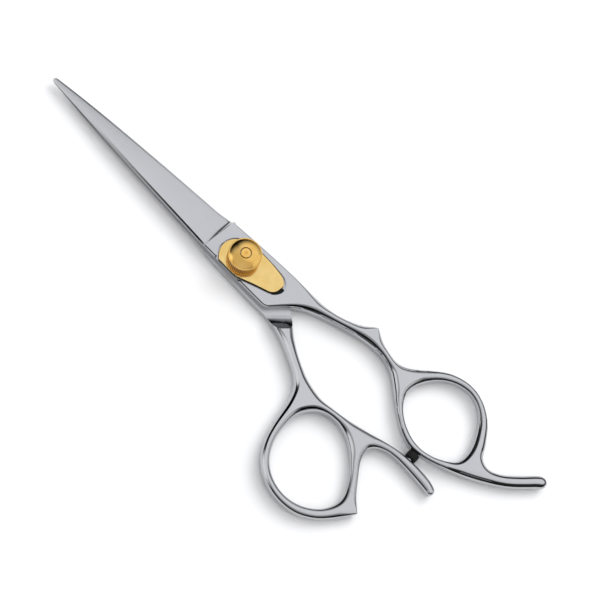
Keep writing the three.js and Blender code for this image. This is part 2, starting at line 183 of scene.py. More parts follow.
def curve_through(points, closed, step=OUTLINE_STEP):
    """Evenly spaced points on a smooth curve through the given ones."""
    count = len(points)
    if closed:
        padded = np.concatenate([points[-1:], points, points[:2]])
    else:
        padded = np.concatenate([2 * points[:1] - points[1:2], points, 2 * points[-1:] - points[-2:-1]])
    dense = []
    for i in range(count if closed else count - 1):
        p0, p1, p2, p3 = padded[i : i + 4]
        t1 = np.linalg.norm(p1 - p0) ** 0.5
        t2 = t1 + np.linalg.norm(p2 - p1) ** 0.5
        t3 = t2 + np.linalg.norm(p3 - p2) ** 0.5
        t = np.linspace(t1, t2, 13)[:-1, None]
        a1 = (t1 - t) / t1 * p0 + t / t1 * p1
        a2 = (t2 - t) / (t2 - t1) * p1 + (t - t1) / (t2 - t1) * p2
        a3 = (t3 - t) / (t3 - t2) * p2 + (t - t2) / (t3 - t2) * p3
        b1 = (t2 - t) / t2 * a1 + t / t2 * a2
        b2 = (t3 - t) / (t3 - t1) * a2 + (t - t1) / (t3 - t1) * a3
        dense.append((t2 - t) / (t2 - t1) * b1 + (t - t1) / (t2 - t1) * b2)
    dense.append(points[:1] if closed else points[-1:])
    dense = np.concatenate(dense)
    reach = np.concatenate([[0], np.cumsum(np.linalg.norm(np.diff(dense, axis=0), axis=1))])
    at = np.linspace(0, reach[-1], max(2, round(reach[-1] / step)) + 1)
    return np.stack([np.interp(at, reach, dense[:, k]) for k in (0, 1)], 1)


def smooth_loop(loop, corner=math.radians(26)):
    """The loop resampled on smooth curves, kept sharp where one point alone turns hard."""
    turn = np.abs(turns(loop))
    behind = np.linalg.norm(loop - np.roll(loop, 1, 0), axis=1)
    beside = np.maximum(
        np.where(behind < FAR_APART, np.roll(turn, 1), 0),
        np.where(np.roll(behind, -1) < FAR_APART, np.roll(turn, -1), 0),
    )
    corners = np.flatnonzero((turn > corner) & (beside < 0.6 * turn))
    if not len(corners):
        return curve_through(loop, closed=True)[:-1]
    pieces = []
    for i, start in enumerate(corners):
        end = corners[(i + 1) % len(corners)]
        run = np.arange(start, end + 1 if end > start else end + 1 + len(loop)) % len(loop)
        pieces.append(curve_through(loop[run], closed=False)[:-1])
    return np.concatenate(pieces)


def inside(points, loop):
    """Which points lie inside a loop."""
    within = np.zeros(len(points), bool)
    for (x0, y0), (x1, y1) in zip(loop, np.roll(loop, -1, 0)):
        if y0 == y1:
            continue
        crosses = (y0 > points[:, 1]) != (y1 > points[:, 1])
        within ^= crosses & (points[:, 0] < (x1 - x0) * (points[:, 1] - y0) / (y1 - y0) + x0)
    return within


def tree_of(points):
    tree = KDTree(len(points))
    for i, (x, y) in enumerate(points):
        tree.insert((x, y, 0), i)
    tree.balance()
    return tree


def inward_normals(loop):
    """Directions in from each point, lengthened at corners so that both sides move in by the same amount."""
    ahead = np.roll(loop, -1, 0) - loop
    ahead /= np.linalg.norm(ahead, axis=1, keepdims=True)
    behind = np.roll(ahead, 1, 0)
    along = ahead + behind
    along /= np.linalg.norm(along, axis=1, keepdims=True)
    normal = np.stack([-along[:, 1], along[:, 0]], 1)
    cosine = np.clip((ahead * along).sum(1), 0.45, 1)
    return normal / cosine[:, None]


# Meshes


def new_piece(name, points, faces):
    """An object from points in millimetres."""
    mesh = bpy.data.meshes.new(name)
    mesh.from_pydata([tuple(p) for p in np.asarray(points, float) * MM], [], faces)
    piece = bpy.data.objects.new(name, mesh)
    bpy.context.scene.collection.objects.link(piece)
    return face_outwards(piece)


def face_outwards(piece):
    bm = bmesh.new()
    bm.from_mesh(piece.data)
    bmesh.ops.recalc_face_normals(bm, faces=bm.faces)
    bm.to_mesh(piece.data)
    bm.free()
    return piece


def combine(piece, operation, *tools):
    """Joins or cuts a piece with other solids, which are used up."""
    for tool in tools:
        modifier = piece.modifiers.new("combine", "BOOLEAN")
        modifier.operation = operation
        modifier.solver = "MANIFOLD"
        modifier.object = tool
        graph = bpy.context.evaluated_depsgraph_get()
        mesh = bpy.data.meshes.new_from_object(piece.evaluated_get(graph))
        piece.modifiers.clear()
        piece.data = mesh
        bpy.data.objects.remove(tool)
    return piece


def finish_surface(piece, material):
    """Smooth shading between the creases, and the material."""
    mesh = piece.data
    mesh.materials.clear()
    mesh.materials.append(material)
    mesh.polygons.foreach_set("use_smooth", [True] * len(mesh.polygons))
    mesh.polygons.foreach_set("material_index", [0] * len(mesh.polygons))
    mesh.set_sharp_from_angle(angle=CREASE)
    mesh.update()
    return piece


def mark(piece, material, chosen):
    """Gives another material to the faces whose centres, in millimetres, are chosen."""
    mesh = piece.data
    mesh.materials.append(material)
    for face in mesh.polygons:
        if chosen(face.center / MM):
            face.material_index = len(mesh.materials) - 1


def revolve(name, profile, segments, reach=None):
    """A solid of revolution about Z. The profile runs from the axis at the bottom to the axis at the top.

    reach, where given, turns an angle, a radius and a height into the radius there.
    """
    points, rings, faces = [], [], []
    for radius, height in profile:
        if radius == 0:
            rings.append([len(points)] * segments)
            points.append((0, 0, height))
            continue
        rings.append(list(range(len(points), len(points) + segments)))
        for i in range(segments):
            angle = 2 * math.pi * i / segments
            r = reach(angle, radius, height) if reach else radius
            points.append((r * math.cos(angle), r * math.sin(angle), height))
    for low, high in zip(rings, rings[1:]):
        for i in range(segments):
            j = (i + 1) % segments
            corners = [low[i], low[j], high[j], high[i]]
            faces.append(list(dict.fromkeys(corners)))
    return new_piece(name, points, faces)


def disc(radius, bottom, top, segments=96):
    return revolve("disc", [(0, bottom), (radius, bottom), (radius, top), (0, top)], segments)


def side_faces(levels, count, start=0):
    """Quads between rings of equally many points that follow each other."""
    for low in range(start, start + (levels - 1) * count, count):
        for i in range(count):
            j = (i + 1) % count
            yield low + i, low + j, low + count + j, low + count + i


def stacked(name, rings):
    """A solid through rings of equally many points, closed by its first and last ring."""
    count = len(rings[0])
    last = (len(rings) - 1) * count
    ends = [tuple(range(count)), tuple(range(last, last + count))]
    return new_piece(name, np.concatenate(rings), [*side_faces(len(rings), count), *ends])


def at_height(loop, z):
    return np.column_stack([loop, np.full(len(loop), z)])


def prism(loop, bottom, top):
    return stacked("prism", [at_height(loop, bottom), at_height(loop, top)])


def block(low, high):
    (x0, y0, z0), (x1, y1, z1) = low, high
    return prism([(x0, y0), (x1, y0), (x1, y1), (x0, y1)], z0, z1)


def cap(rings, spacing):
    """Points and triangles that fill the space inside the first ring and outside the others."""
    low, high = rings[0].min(0), rings[0].max(0)
    grid = np.stack(np.meshgrid(*[np.arange(low[k], high[k], spacing) for k in (0, 1)]), -1).reshape(-1, 2)
    grid[:, 0] += (np.round(grid[:, 1] / spacing) % 2) * spacing / 2
    edge_points = np.concatenate(rings)
    tree = tree_of(edge_points)
    clear = np.array([tree.find((x, y, 0))[2] > 0.45 * spacing for x, y in grid])
    fits = clear & inside(grid, rings[0])
    for hole in rings[1:]:
        fits &= ~inside(grid, hole)
    points = np.concatenate([edge_points, grid[fits]])
    edges, start = [], 0
    for ring in rings:
        count = len(ring)
        edges += [(start + i, start + (i + 1) % count) for i in range(count)]
        start += count
    made = delaunay_2d_cdt([Vector(p) for p in points], edges, [], 0, 1e-6)
    source = [origin[0] for origin in made[3]]
    triangles = np.array([[source[i] for i in face] for face in made[2]])
    centres = points[triangles].mean(1)
    keep = inside(centres, rings[0])
    for hole in rings[1:]:
        keep &= ~inside(centres, hole)
    return points, triangles[keep]


def rounding_reach(loop, tree):
    """How far in the rounding goes at each point: less at the ricasso, at corners and on slim parts."""
    past_ricasso = smoothstep(loop[:, 0], ROUNDING_FROM, ROUNDING_TO)
    wanted = RICASSO_ROUNDING + (SHANK_ROUNDING[0] - RICASSO_ROUNDING) * past_ricasso
    normals = inward_normals(loop)
    normals /= np.linalg.norm(normals, axis=1, keepdims=True)
    room = np.full(len(loop), 0.2)
    for depth in np.arange(0.25, 2.0, 0.05):
        for i in np.flatnonzero(room > depth - 0.06):
            x, y = loop[i] + normals[i] * depth
            if tree.find((x, y, 0))[2] > 0.94 * depth:
                room[i] = depth
    corners = loop[np.abs(turns(loop)) > CORNER_TURN]
    if len(corners):
        corner_tree = tree_of(corners)
        distance = np.array([corner_tree.find((x, y, 0))[2] for x, y in loop])
        wanted = wanted * (0.3 + 0.7 * smoothstep(distance, 0.5, 5))
    reach = np.minimum(wanted, 0.76 * room)
    for _ in range(3):
        reach = np.minimum(reach, 0.5 * (np.roll(reach, 1) + np.roll(reach, -1)) + 0.02)
    return evened(reach[:, None], 12)


def evened(values, times):
    """Values along a loop, each moved towards its neighbours."""
    for _ in range(times):
        values = 0.25 * np.roll(values, 1, 0) + 0.5 * values + 0.25 * np.roll(values, -1, 0)
    return values


def thinned(points):
    """Heights close in on the parting plane towards the ring ends."""
    share = smoothstep(points[:, 0], THINNING_FROM, THINNING_TO)
    points[:, 2] = PARTING + (points[:, 2] - PARTING) * (1 - RING_THINNING * share)
    return points


def rounded_slab(name, loops):
    """A plate of the full thickness with rounded long edges, from an outline and its holes."""
    tree = tree_of(np.concatenate(loops))
    rings, points, faces = [], [], []
    start = 0
    angles = np.linspace(0, ROUNDING_SWEEP, ROUNDING_STEPS + 1)
    inwards = (1 - np.cos(angles)) / (1 - math.cos(ROUNDING_SWEEP))
    downwards = 1 - np.sin(angles) / math.sin(ROUNDING_SWEEP)
    for loop in loops:
        count = len(loop)
        reach = rounding_reach(loop, tree)
        drop = reach * SHANK_ROUNDING[1] / SHANK_ROUNDING[0]
        normals = evened(inward_normals(loop), CORNER_EVENING)
        levels = [(reach * inset, drop * down) for inset, down in zip(inwards[::-1], downwards[::-1])]
        levels += [(reach * inset, THICKNESS - drop * down) for inset, down in zip(inwards, downwards)]
        for inset, height in levels:
            points.append(np.concatenate([loop + normals * inset, height], 1))
        faces += side_faces(len(levels), count, start)
        rings.append((loop + normals * levels[0][0], start, start + (len(levels) - 1) * count))
        start += len(levels) * count
    flat, triangles = cap([ring[0] for ring in rings], spacing=1.1)
    edge_count = sum(len(ring[0]) for ring in rings)
    inner = flat[edge_count:]
    for which, height in ((1, 0.0), (2, THICKNESS)):
        index = np.concatenate([np.arange(len(ring[0])) + ring[which] for ring in rings])
        index = np.concatenate([index, start + np.arange(len(inner))])
        points.append(at_height(inner, height))
        faces += [tuple(index[t]) for t in triangles]
        start += len(inner)
    return new_piece(name, thinned(np.concatenate(points)), faces)


# The two halves


def root_line(node, height):
    """Where the ricasso ends: its x on the pivot's line, and its lean in X per Y."""
    loop = section(node, height)[0]
    ends = [max(loop[loop[:, 1] * side > 0], key=lambda p: p[0]) for side in (-1, 1)]
    lean = (ends[1][0] - ends[0][0]) / (ends[1][1] - ends[0][1])
    return ends[0][0] - lean * ends[0][1], lean


def handle_loops(node, height, root):
    """The outline of ricasso, shank and ring, run on straight past the root, and the finger or thumb hole."""
    outer, hole = section(node, height)[:2]
    hole = hole[::-1]
    ahead = outer[:, 0] > root[0] - 1.2
    first = int(np.flatnonzero(ahead & ~np.roll(ahead, 1))[0])
    outer = np.roll(outer, -first, 0)
    count = np.count_nonzero(ahead)
    ends = [run_on(outer[-1], outer[0], root[0] + 4), run_on(outer[count], outer[count - 1], root[0] + 4)]
    low, high = [np.array(corner.xy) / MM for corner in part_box(node)]
    return np.clip(smooth_loop(np.concatenate([outer[count:], ends])), low, high), smooth_loop(hole)


def run_on(start, through, x):
    """Where the line from one point through another reaches x."""
    return start + (through - start) * (x - start[0]) / (through[0] - start[0])


def fitted(x, y, degree):
    """A polynomial through measured points, as a function of x."""
    middle, half = (x.min() + x.max()) / 2, (x.max() - x.min()) / 2
    factors = np.polyfit((x - middle) / half, y, degree)
    return lambda at: np.polyval(factors, (np.asarray(at, float) - middle) / half)


def blade(node, side, back_side, root, swell=0.0):
    """The ground blade, from inside the ricasso to the tip.

    side is +1 above the parting plane and -1 below it; back_side is the sign of Y on which its spine lies;
    swell is how far the cutting edge stands out past the ricasso at the root.
    """
    inner = PARTING + side * GAP
    planform = section(node, inner + side * 0.06)[0]
    blade_points = planform[planform[:, 0] > root[0] + 1.0]
    back, front = [
        fitted(*blade_points[blade_points[:, 1] * sign > 0].T, degree=4) for sign in (back_side, -back_side)
    ]
    vertices = np.array([v.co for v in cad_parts[node].data.vertices]) / MM
    beyond = vertices[vertices[:, 0] > root[0] + 2.5]
    stations = np.unique(np.round(beyond[:, 0], 1))
    tall = [np.abs(beyond[np.abs(beyond[:, 0] - x) < 0.1][:, 2] - inner).max() for x in stations]
    top = [np.mean([t for x, t in zip(stations, tall) if abs(x - s) < 0.3]) for s in stations]
    thickness = fitted(stations, np.array(top), degree=3)
    tip = beyond[:, 0].max()

    ricasso = section(node, PARTING + side)[0]
    shoulder = -back_side * (swell + max(-back_side * y for x, y in ricasso if abs(x - root[0]) < 2))
    full = PARTING - GAP - 0.02
    length = tip - root[0]
    fillet = ROOT_FILLET * (1 - np.cos(np.linspace(0, math.pi / 2, 9)))
    run = np.linspace(ROOT_FILLET, length - TIP_ROUNDING, 70)[1:]
    end = length - TIP_ROUNDING * (1 - np.sin(np.linspace(0, math.pi / 2, 8))[1:])
    shares = np.concatenate([[0.0], np.linspace(0.06, 0.94, 18), [1.0]])
    rings = []
    for s in [-BURIED_LENGTH, *fillet, *run, *end]:
        x0 = root[0] + s
        spine, edge = float(back(max(x0, root[0]))), float(front(max(x0, root[0])))
        edge += (shoulder - float(front(root[0]))) * (1 - float(smoothstep(s, 0, SHOULDER_RUN)))
        edge += back_side * (swell + BURIED_SETBACK) * float(s < 0)
        thick = min(float(thickness(max(x0, root[0]))), full)
        rounding = min(1.0, max(0.0, (s - length) / TIP_ROUNDING + 1))
        narrow = 0.4 + 0.6 * math.sqrt(1 - rounding**2)
        middle, half = (spine + edge) / 2, (spine - edge) / 2 * narrow
        spine, edge = middle + half, middle - half
        width = abs(spine - edge)
        chamfer = min(SPINE_CHAMFER, 0.3 * width, 0.3 * thick)
        bevel = min(EDGE_BEVEL[0], 0.25 * width)
        rise = 1.0 if s <= 0 else 1 - math.sqrt(max(0.0, 1 - (1 - min(1.0, s / ROOT_FILLET)) ** 2))
        hollow = HOLLOW * float(smoothstep(s, 3, 12) * (1 - smoothstep(s, length - 12, length - 2)))
        lean = root[1] * (1 - float(smoothstep(s, 2, 30)))

        def at(share, height):
            y = spine + (edge - spine) * share
            return (x0 + lean * y, y, inner + side * height)

        def face(share):
            """Height of the ground face, falling from the spine to the bevel."""
            ground = EDGE_BEVEL[1] + 0.1 + (thick - EDGE_BEVEL[1] - 0.1) * (1 - share**1.32)
            return ground + (full - ground) * rise

        ring = [at(0, 0), at(0, face(0) - chamfer)]
        start = chamfer / width
        stop = 1 - bevel / width
        ring += [at(share, face(share)) for share in start + shares * (stop - start)]
        ring += [at(1, EDGE_BEVEL[1] + (full - EDGE_BEVEL[1]) * rise), at(1, 0)]
        for share in (0.94, 0.8, 0.6, 0.4, 0.2, 0.06):
            ring.append(at(share, hollow * math.sin(math.pi * share) ** 0.7))
        rings.append(ring)
    return stacked("blade", rings)


def past_root(root):
    """Everything beyond the grinding step."""
    x, lean = root
    corners = [(x + 10 * lean, 10), (x - 10 * lean, -10), (x + 30, -10), (x + 30, 10)]
    return prism(corners, -1, THICKNESS + 1)


def cove(start, reach):
    """Points of a hollow ramp: distance from the pivot, and height beyond the parting plane."""
    shares = np.linspace(0, 1, 25)
    return [(start + reach * share, (PARTING + GAP) * share**COVE_POWER - GAP) for share in shares]


def room_below():
    """The round room under the finger half, in which the thumb half turns."""
    rim = cove(HUB_RADIUS, HUB_COVE)
    profile = [(0, -GAP), *rim, (rim[-1][0], PARTING + 1), (0, PARTING + 1)]
    return revolve("room", [(r, PARTING - h) for r, h in profile], 256)


def room_above():
    """The room over the thumb half: everything on the pivot's side of a straight hollow step."""
    reach = THUMB_COVE["reach"]
    rim = cove(THUMB_COVE["distance"] - reach, reach)
    far, wide = -30, 60
    profile = [(far, -GAP), *rim, (rim[-1][0], PARTING + 1), (far, PARTING + 1)]
    room = stacked("room", [[(x, y, PARTING + z) for x, z in profile] for y in (-wide, wide)])
    room.data.transform(Matrix.Rotation(math.radians(THUMB_COVE["azimuth"]), 4, "Z"))
    return room


def bed_run():
    """The open outline of the plate's pocket, from where the finger half's outline changes at its level."""
    plate_low, plate_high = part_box("base_plate")
    whole = section("finger_half", PARTING + 1)[0]
    notched = section("finger_half", plate_low.z / MM + 0.1)[0]
    tree = tree_of(curve_through(whole, closed=True, step=0.05))
    off = np.array([tree.find((x, y, 0))[2] > 0.08 for x, y in notched])
    off &= notched[:, 0] < plate_high.x / MM + 1.5
    off &= notched[:, 0] > plate_low.x / MM - 2.5
    first = int(np.flatnonzero(off & ~np.roll(off, 1))[0])
    run = curve_through(np.roll(notched, -first, 0)[: np.count_nonzero(off)], closed=False)
    run[:, 1] += BED_CLEARANCE * smoothstep(run[:, 1], 0.0, 1.5)
    return run


def bed_bottom():
    """Height of the pocket's floor, under the plate."""
    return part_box("base_plate")[0].z / MM - GAP


def plate_bed(bottom):
    """The room that the pocket takes out of the finger half, down to a height."""
    run = bed_run()
    ends = [run[-1] + (0, 2.5), run[0] + (0, 2.5)]
    return prism(np.concatenate([run, ends]), bottom, THICKNESS + 1)


def relief_room():
    """Where the pocket is deeper: past the plate's end and along its side."""
    high = THICKNESS - 1 + BED_RELIEF
    end = block((-20, RELIEF_END["y"], 0), (RELIEF_END["x"], 8, THICKNESS))
    return combine(end, "UNION", block((-19, RELIEF_SIDE["y"], 1), (RELIEF_SIDE["x"], 7, high)))


def in_painted_shade_bed():
    """Tells whether a point lies on the pocket's wall towards the thumb ring, or in its relief: the places
    painted black as shade.
    """
    tree = tree_of(bed_run())
    bottom = bed_bottom()

    def chosen(point):
        if not bottom - 2 * BED_RELIEF < point.z < THICKNESS - 0.01:
            return False
        if point.x < RELIEF_SIDE["x"] + 0.2 and point.z < bottom - 0.5 * BED_RELIEF:
            return True
        painted_shade_side = point.y > (PAINTED_SHADE_FROM if point.x > RELIEF_END["x"] else RELIEF_END["y"])
        return painted_shade_side and tree.find((point.x, point.y, 0))[2] < 0.3

    return chosen


def in_cove(point):
    """Whether a point lies on the thumb half's hollow step."""
    angle = math.radians(THUMB_COVE["azimuth"])
    distance = point.x * math.cos(angle) + point.y * math.sin(angle)
    start = THUMB_COVE["distance"] - THUMB_COVE["reach"]
    return point.z > PARTING - 2 * GAP and start - 1 < distance < THUMB_COVE["distance"] - 0.02


def finger_half():
    root = root_line("finger_half", THICKNESS - 0.05)
    body = rounded_slab("finger_half_forging", handle_loops("finger_half", PARTING + 1, root))
    combine(body, "DIFFERENCE", past_root(root), room_below())
    combine(body, "UNION", blade("finger_half", 1, 1, root, EDGE_SWELL))
    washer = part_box("bearing_washer")[1] / MM
    combine(
        body,
        "DIFFERENCE",
        plate_bed(bed_bottom()),
        combine(plate_bed(bed_bottom() - BED_RELIEF), "INTERSECT", relief_room()),
        keyed_neck(RUNNING_GAP, 1.5, NECK_TOP + GAP),
        disc(THREAD_RADIUS + RUNNING_GAP, 3, 6),
        disc(washer.x + RUNNING_GAP, 1, washer.z + GAP),
    )
    return body


def thumb_half():
    root = root_line("thumb_half", 0.05)
    body = rounded_slab("thumb_half_forging", handle_loops("thumb_half", PARTING - 1, root))
    combine(body, "DIFFERENCE", past_root(root), room_above())
    combine(body, "UNION", blade("thumb_half", -1, -1, root))
    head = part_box("pivot_screw")[1].x / MM
    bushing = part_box("pivot_bushing")[1].x / MM
    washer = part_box("bearing_washer")
    combine(
        body,
        "DIFFERENCE",
        disc(head + RUNNING_GAP, -1, SCREW_HEAD_HEIGHT + RUNNING_GAP),
        disc(bushing + RUNNING_GAP, -1, 3),
        disc(washer[1].x / MM + RUNNING_GAP, washer[0].z / MM - GAP, 3),
        stud_hole(),
    )
    return body


def keyed_neck(room, bottom, top):
    """The pivot screw's neck with its two flats, grown by some room."""
    flats = block((-5, -NECK_FLAT - room, 0), (5, NECK_FLAT + room, 6))
    return combine(disc(NECK_RADIUS + room, bottom, top), "INTERSECT", flats)


def stud_hole():
    """The hole for the bumper's stud, from the prong's side."""
    low, high = [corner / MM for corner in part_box("bumper_stud")]
    hole = disc((high.x - low.x) / 2 + RUNNING_GAP, -3.5, 0.6, 48)
    centre = Vector(((low.x + high.x) / 2, high.y - 0.5, PARTING)) * MM
    hole.data.transform(Matrix.Translation(centre) @ Matrix.Rotation(math.radians(-90), 4, "X"))
    return hole


# Knob, plate, screws and bumper


def tension_knob():
    """A domed knob with a straight knurl, a bright bead above it and a seat for its centre screw."""
    low, high = [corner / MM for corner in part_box("tension_knob")]
    radius, bottom, top = high.x - KNOB_CLEARANCE, low.z, high.z
    knurl_top = top - KNOB_DOME - KNOB_RIM

    def knurled(angle, r, height):
        if r < radius - 0.2:
            return r
        start = smoothstep(height, bottom + 0.1, bottom + 0.35)
        end = smoothstep(height, knurl_top - 0.3, knurl_top)
        wave = abs(math.sin(KNOB_TEETH * angle / 2)) ** 1.5
        return r - KNURL_DEPTH * float(start * (1 - end)) * (1 - wave)

    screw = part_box("lock_screw")[1].x / MM + SCREW_GROOVE
    profile = [(0, bottom), (radius - 0.25, bottom), (radius - 0.06, bottom + 0.08)]
    profile += [(radius, z) for z in np.linspace(bottom + 0.18, knurl_top, 16)]
    bead = 0.16
    for angle in np.linspace(0, math.radians(130), 9):
        profile.append((radius - bead * (1 - math.cos(angle)), knurl_top + bead / 2 + bead * math.sin(angle)))
    dome_radius, dome_bottom = radius - 0.3, knurl_top + bead
    steepness = (top - dome_bottom) / (1 - (screw / dome_radius) ** 2)
    for share in np.linspace(0.01, 1, 20):
        r = dome_radius + (screw - dome_radius) * share
        profile.append((r, dome_bottom + steepness * (1 - (r / dome_radius) ** 2)))
    profile += [(screw - 0.03, top - 0.06), (screw - 0.03, KNOB_SEAT), (0, KNOB_SEAT)]
    knob = revolve("tension_knob_gilt", profile, KNOB_TEETH * 10, knurled)
    recess = disc(KNOB_RECESS["radius"], bottom - 1, bottom + KNOB_RECESS["depth"])
    bore = disc(THREAD_RADIUS + RUNNING_GAP, bottom - 1, KNOB_SEAT + 0.5)
    return combine(knob, "DIFFERENCE", recess, bore)


def in_knurl():
    """Tells whether a point lies deep in a groove of the knurl, where brown shade is painted."""
    low, high = [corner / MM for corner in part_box("tension_knob")]
    deepest, shallowest = high.x - 0.5, high.x - KNOB_CLEARANCE - 0.3 * KNURL_DEPTH
    bottom, top = low.z + 0.1, high.z - KNOB_DOME - KNOB_RIM
    return lambda point: bottom < point.z < top and deepest < math.hypot(point.x, point.y) < shallowest


def lock_screw():
    """The knob's centre screw: a low dome with a small punched centre."""
    low, high = [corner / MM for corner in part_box("lock_screw")]
    head, under_head, shoulder = high.x, KNOB_SEAT + GAP, high.z - 0.22
    profile = [(0, low.z), (LOCK_SHANK - 0.1, low.z), (LOCK_SHANK, low.z + 0.1)]
    profile += [(LOCK_SHANK, under_head), (head, under_head), (head, shoulder)]
    for angle in np.linspace(0, math.pi / 2, 7)[1:]:
        profile.append((head - 0.16 * (1 - math.cos(angle)), shoulder + 0.14 * math.sin(angle)))
    for radius, depth in ((0.9, 0.035), (0.5, 0.008), (0.34, 0.03), (0.22, 0.2), (0, 0.26)):
        profile.append((radius, high.z - depth))
    return revolve("lock_screw_gilt", profile, 64)


def base_plate():
    """The gilt leaf with its long edge broken by a small chamfer."""
    low, high = [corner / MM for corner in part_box("base_plate")]
    loop = smooth_loop(section("base_plate", (low.z + high.z) / 2)[0], corner=math.radians(20))
    normals = inward_normals(loop)
    chamfer = [(0.0, PLATE_CHAMFER_START), (0.03, 0.06), (0.09, 0.01), (0.16, 0.0)]
    rings = [at_height(loop, low.z)]
    rings += [at_height(loop + normals * inset, high.z - depth) for inset, depth in chamfer]
    plate = stacked("base_plate_gilt", rings)
    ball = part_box("detent_ball")
    centre = (ball[0] + ball[1]) / 2 / MM
    ball_hole = disc((ball[1].x - ball[0].x) / 2 / MM + 0.05, low.z - 1, high.z + 1, 32)
    ball_hole.data.transform(Matrix.Translation((centre.x * MM, centre.y * MM, 0)))
    return combine(plate, "DIFFERENCE", disc(THREAD_RADIUS + RUNNING_GAP, 3, 6), ball_hole)


def on_shaded_plate_edge():
    """Tells whether a point lies on the plate's edge under its chamfer, which is painted black as shade."""
    low, high = [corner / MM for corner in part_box("base_plate")]
    tree = tree_of(smooth_loop(section("base_plate", (low.z + high.z) / 2)[0]))
    bottom, top = low.z + 0.01, high.z - PLATE_CHAMFER_START + 0.01
    return lambda point: bottom < point.z < top and tree.find((point.x, point.y, 0))[2] < 1


def pivot_screw():
    """A flat slotted head with a broken edge, a keyed neck and the rings of the thread."""
    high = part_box("pivot_screw")[1] / MM
    head, top, washer_top = high.x, high.z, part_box("bearing_washer")[1].z / MM
    broken = 0.3
    profile = [(0, 0), (head - broken - 0.05, 0)]
    for angle in np.linspace(0, math.pi / 2, 6)[1:]:
        profile.append((head - broken + broken * math.sin(angle), broken - broken * math.cos(angle)))
    profile += [(head, SCREW_HEAD_HEIGHT), (NECK_RADIUS, SCREW_HEAD_HEIGHT), (NECK_RADIUS, washer_top)]
    core, ring_bottom = THREAD_RADIUS - 0.1, NECK_TOP + 0.1
    profile += [(core, washer_top), (core, ring_bottom)]
    while ring_bottom + THREAD_PITCH < top - 0.3:
        profile.append((THREAD_RADIUS, ring_bottom + 0.4 * THREAD_PITCH))
        ring_bottom += THREAD_PITCH
        profile.append((THREAD_RADIUS - 0.18, ring_bottom))
    profile += [(THREAD_RADIUS - 0.2, top - 0.1), (THREAD_RADIUS - 0.35, top), (0, top)]
    screw = revolve("pivot_screw_turned", profile, 96)
    combine(screw, "UNION", keyed_neck(0, washer_top, NECK_TOP))
    half = SCREW_SLOT["width"] / 2
    slot = block((-3, -half, -1), (3, half, SCREW_SLOT["depth"]))
    return combine(screw, "DIFFERENCE", slot, disc(LOCK_SHANK + RUNNING_GAP, 7.0, top + 1, 32))


def bumper():
    """A short rubber barrel with soft edges, open behind for its stud."""
    low, high = [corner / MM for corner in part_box("bumper")]
    radius, length = (high.x - low.x) / 2, high.y - low.y
    soft = 0.32
    profile = [(0, 0), (radius - soft, 0)]
    for angle in np.linspace(0, math.pi / 2, 7)[1:]:
        profile.append((radius - soft * (1 - math.sin(angle)), soft * (1 - math.cos(angle))))
    profile += [(radius, length - 0.2), (radius - 0.06, length - 0.06), (radius - 0.2, length), (0.9, length)]
    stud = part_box("bumper_stud")[0].y / MM - RUNNING_GAP - low.y
    profile += [(0.9, stud), (0, stud)]
    piece = revolve("bumper_rubber", profile, 64)
    centre = Vector(((low.x + high.x) / 2, low.y, (low.z + high.z) / 2)) * MM
    piece.data.transform(Matrix.Translation(centre) @ Matrix.Rotation(math.radians(-90), 4, "X"))
    return piece


# Materials


class Nodes:
    """A new material with a Principled shader, and short ways to add nodes to it."""

    def __init__(self, name, **settings):
        self.material = bpy.data.materials.new(name)
        self.material.use_nodes = True
        self.tree = self.material.node_tree
        self.shader = self.tree.nodes["Principled BSDF"]
        for socket, value in settings.items():
            self.shader.inputs[socket.replace("_", " ")].default_value = value

    def add(self, kind, **settings):
        node = self.tree.nodes.new("ShaderNode" + kind)
        for name, value in settings.items():
            setattr(node, name, value)
        return node

    def link(self, output, target):
        self.tree.links.new(output, target)

    def position(self, scale):
        """Object coordinates in metres, stretched along the axes."""
        mapping = self.add("Mapping")
        mapping.inputs["Scale"].default_value = scale
        self.link(self.add("TexCoord").outputs["Object"], mapping.inputs["Vector"])
        return mapping.outputs["Vector"]

    def noise(self, scale, detail=3.0):
        """Noise from 0 to 1, with a scale per metre along each axis."""
        texture = self.add("TexNoise")
        texture.inputs["Scale"].default_value = 1.0
        texture.inputs["Detail"].default_value = detail
        self.link(self.position(scale), texture.inputs["Vector"])
        return texture.outputs["Fac"]

    def spread(self, value, low, high, start=0.3, end=0.7):
        """A 0 to 1 value as a range, with soft ends."""
        ranged = self.add("MapRange", interpolation_type="SMOOTHSTEP")
        ranged.inputs["From Min"].default_value = start
        ranged.inputs["From Max"].default_value = end
        ranged.inputs["To Min"].default_value = low
        ranged.inputs["To Max"].default_value = high
        self.link(value, ranged.inputs["Value"])
        return ranged.outputs["Result"]

    def maths(self, operation, *values):
        node = self.add("Math", operation=operation)
        for i, value in enumerate(values):
            if isinstance(value, (int, float)):
                node.inputs[i].default_value = value
            else:
                self.link(value, node.inputs[i])
        return node.outputs[0]

    def colours(self, value, *stops):
        """A colour from a value, through (place, (r, g, b)) stops."""
        ramp = self.add("ValToRGB")
        elements = ramp.color_ramp.elements
        while len(elements) < len(stops):
            elements.new(0.5)
        for element, (place, colour) in zip(elements, stops):
            element.position = place
            element.color = (*colour, 1)
        self.link(value, ramp.inputs["Fac"])
        return ramp.outputs["Color"]

    def flatness(self):
        """1 where the surface lies level, 0 on walls and rounded edges."""
        start, end = 0.86, 0.985  # the upright part of the surface's direction
        split = self.add("SeparateXYZ")
        self.link(self.add("NewGeometry").outputs["Normal"], split.inputs["Vector"])
        return self.spread(self.maths("ABSOLUTE", split.outputs["Z"]), 0.0, 1.0, start, end)

    def bump(self, height, strength, distance):
        bump = self.add("Bump")
        bump.inputs["Strength"].default_value = strength
        bump.inputs["Distance"].default_value = distance
        self.link(height, bump.inputs["Height"])
        self.link(bump.outputs["Normal"], self.shader.inputs["Normal"])

    def set(self, **sources):
        for socket, output in sources.items():
            self.link(output, self.shader.inputs[socket.replace("_", " ")])
        return self.material


